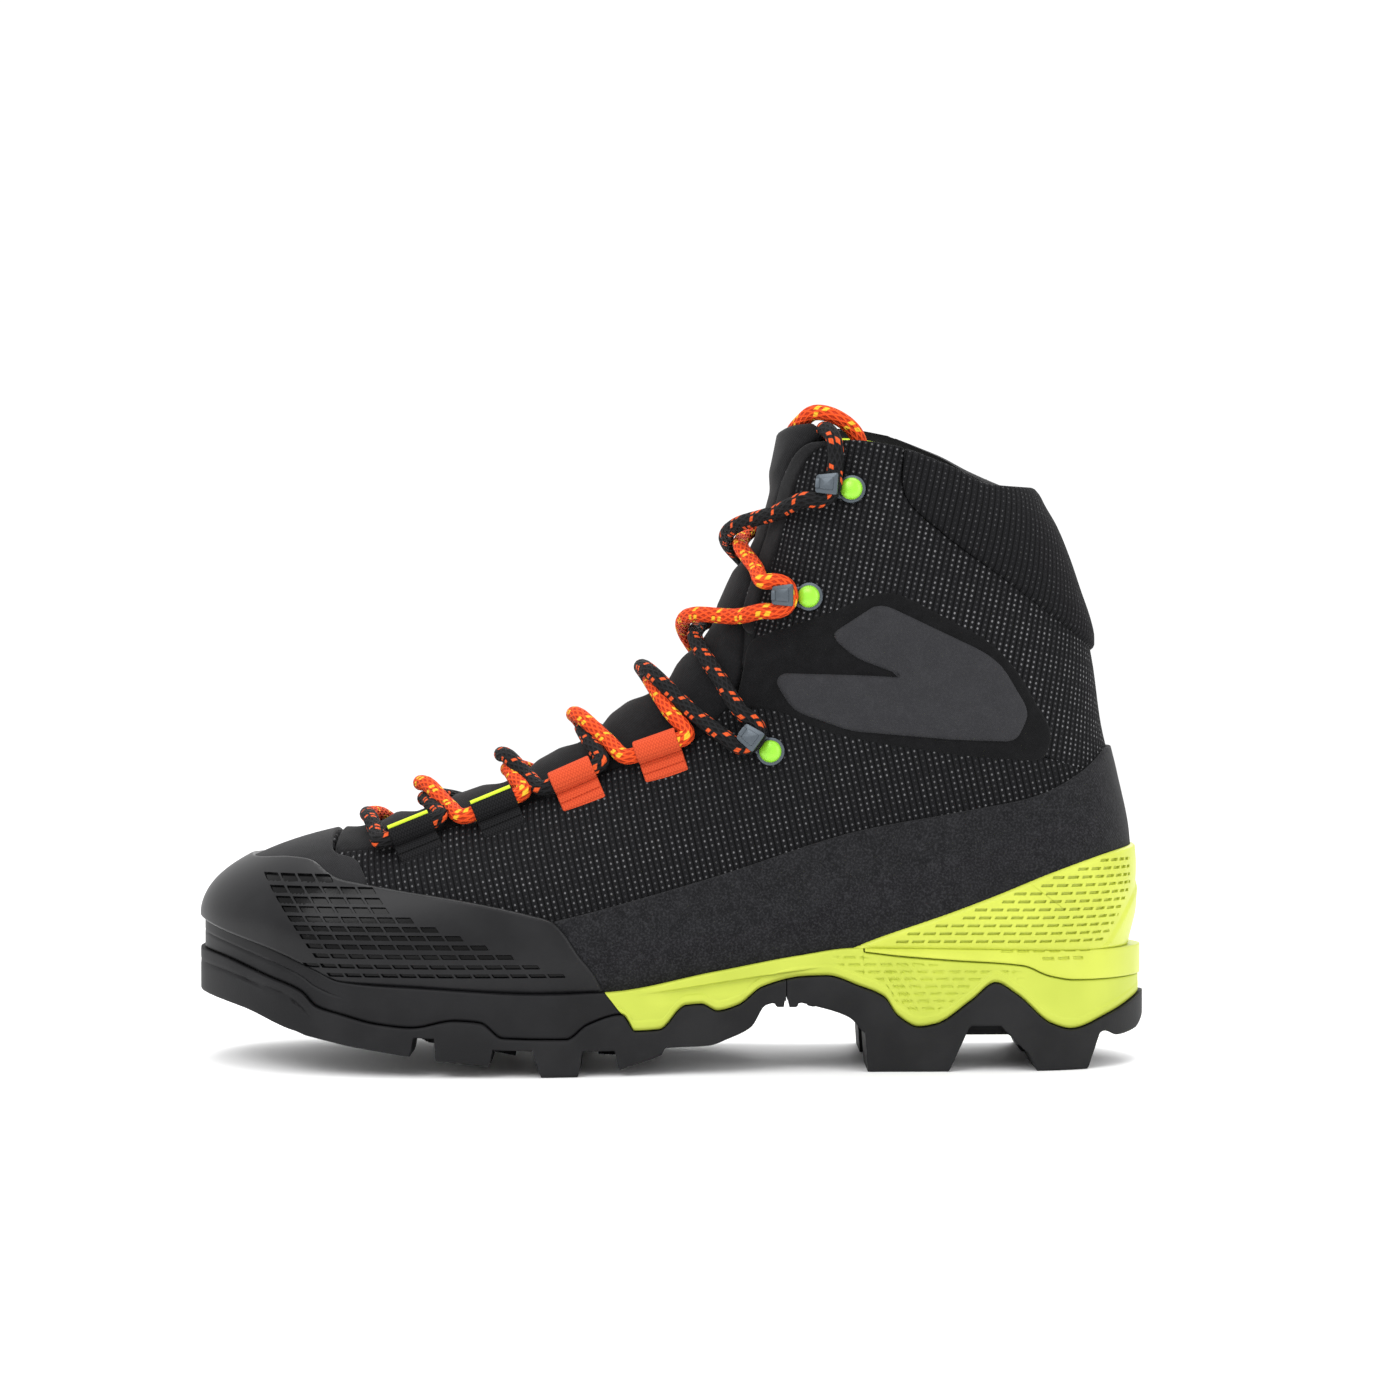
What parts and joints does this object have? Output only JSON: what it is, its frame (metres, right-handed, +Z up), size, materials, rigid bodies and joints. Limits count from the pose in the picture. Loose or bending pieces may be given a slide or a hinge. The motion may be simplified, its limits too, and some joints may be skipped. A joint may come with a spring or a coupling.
{
  "type": "mountaineering boot",
  "caption": "Left mountaineering boot with lugged rubber outsole, heel cradle for a crampon lever, rubber toe rand, knit upper with hinged cuff, webbing lace loops and speed hooks.",
  "frame": {"origin": "middle of the bounding box on the ground under the sole", "axes": "+Z up, -X towards the toe, -Y towards the outer side of the foot"},
  "size_m": [0.305, 0.1086, 0.2089],
  "materials": {
    "outsole_rubber": "satin moulded rubber",
    "midsole_black": "matte moulded foam",
    "midsole_lime": "matte moulded foam",
    "cradle_lime": "satin moulded plastic",
    "shank": "satin composite",
    "board": "matte fibre board",
    "lining": "matte mesh over foam",
    "rand_rubber": "satin rubber",
    "microfibre": "matte microfibre",
    "ankle_pad": "satin film",
    "knit": "matte coated knit",
    "webbing_black": "woven webbing",
    "webbing_orange": "woven webbing",
    "hook_slate": "satin",
    "rivet_green": "gloss",
    "lace_orange": "braided",
    "lace_black": "braided",
    "aglet": "gloss"
  },
  "bodies": {
    "foot": {"outsole_forefoot": "outsole_rubber", "outsole_heel": "outsole_rubber", "midsole_forefoot": "midsole_black", "midsole_rear": "midsole_lime", "heel_cup": "cradle_lime", "shank": "shank", "lasting_board": "board", "footbed": "lining", "toe_puff": "board", "heel_counter": "board", "lining_lower": "lining", "toe_rand": "rand_rubber", "toe_overlay": "microfibre", "side_rand": "microfibre", "tongue": "knit", "vamp_knit": "knit", "ankle_panel_lateral": "microfibre", "ankle_panel_medial": "microfibre", "ankle_pad_lateral": "ankle_pad", "ankle_pad_medial": "ankle_pad", "lace_loop_1_lateral": "webbing_black", "lace_loop_1_medial": "webbing_black", "lace_loop_2_lateral": "webbing_black", "lace_loop_2_medial": "webbing_black", "lace_loop_3_lateral": "webbing_orange", "lace_loop_3_medial": "webbing_orange", "lace_loop_4_lateral": "webbing_orange", "lace_loop_4_medial": "webbing_orange", "hook_1_lateral": "hook_slate", "hook_1_medial": "hook_slate", "rivet_1_lateral": "rivet_green", "rivet_1_medial": "rivet_green", "lace": "lace_orange"},
    "cuff": {"lining_cuff": "lining", "collar_pad": "knit", "cuff_knit": "knit", "front_binding_lateral": "microfibre", "front_binding_medial": "microfibre", "hook_2_lateral": "hook_slate", "hook_2_medial": "hook_slate", "hook_3_lateral": "hook_slate", "hook_3_medial": "hook_slate", "rivet_2_lateral": "rivet_green", "rivet_2_medial": "rivet_green", "rivet_3_lateral": "rivet_green", "rivet_3_medial": "rivet_green", "lace_tail_black": "lace_black", "lace_tail_orange": "lace_orange", "aglet_black": "aglet", "aglet_orange": "aglet"}
  },
  "joints": [
    {"name": "cuff_flex", "type": "hinge", "parent": "foot", "child": "cuff", "pos_m": [0.084, 0, 0.104], "axis": [0, -1, 0], "range_deg": [-4, 8], "stiffness_Nm_per_rad": 6, "deforming": ["tongue", "ankle_panel_lateral", "ankle_panel_medial", "ankle_pad_lateral", "ankle_pad_medial", "lace"]}
  ]
}
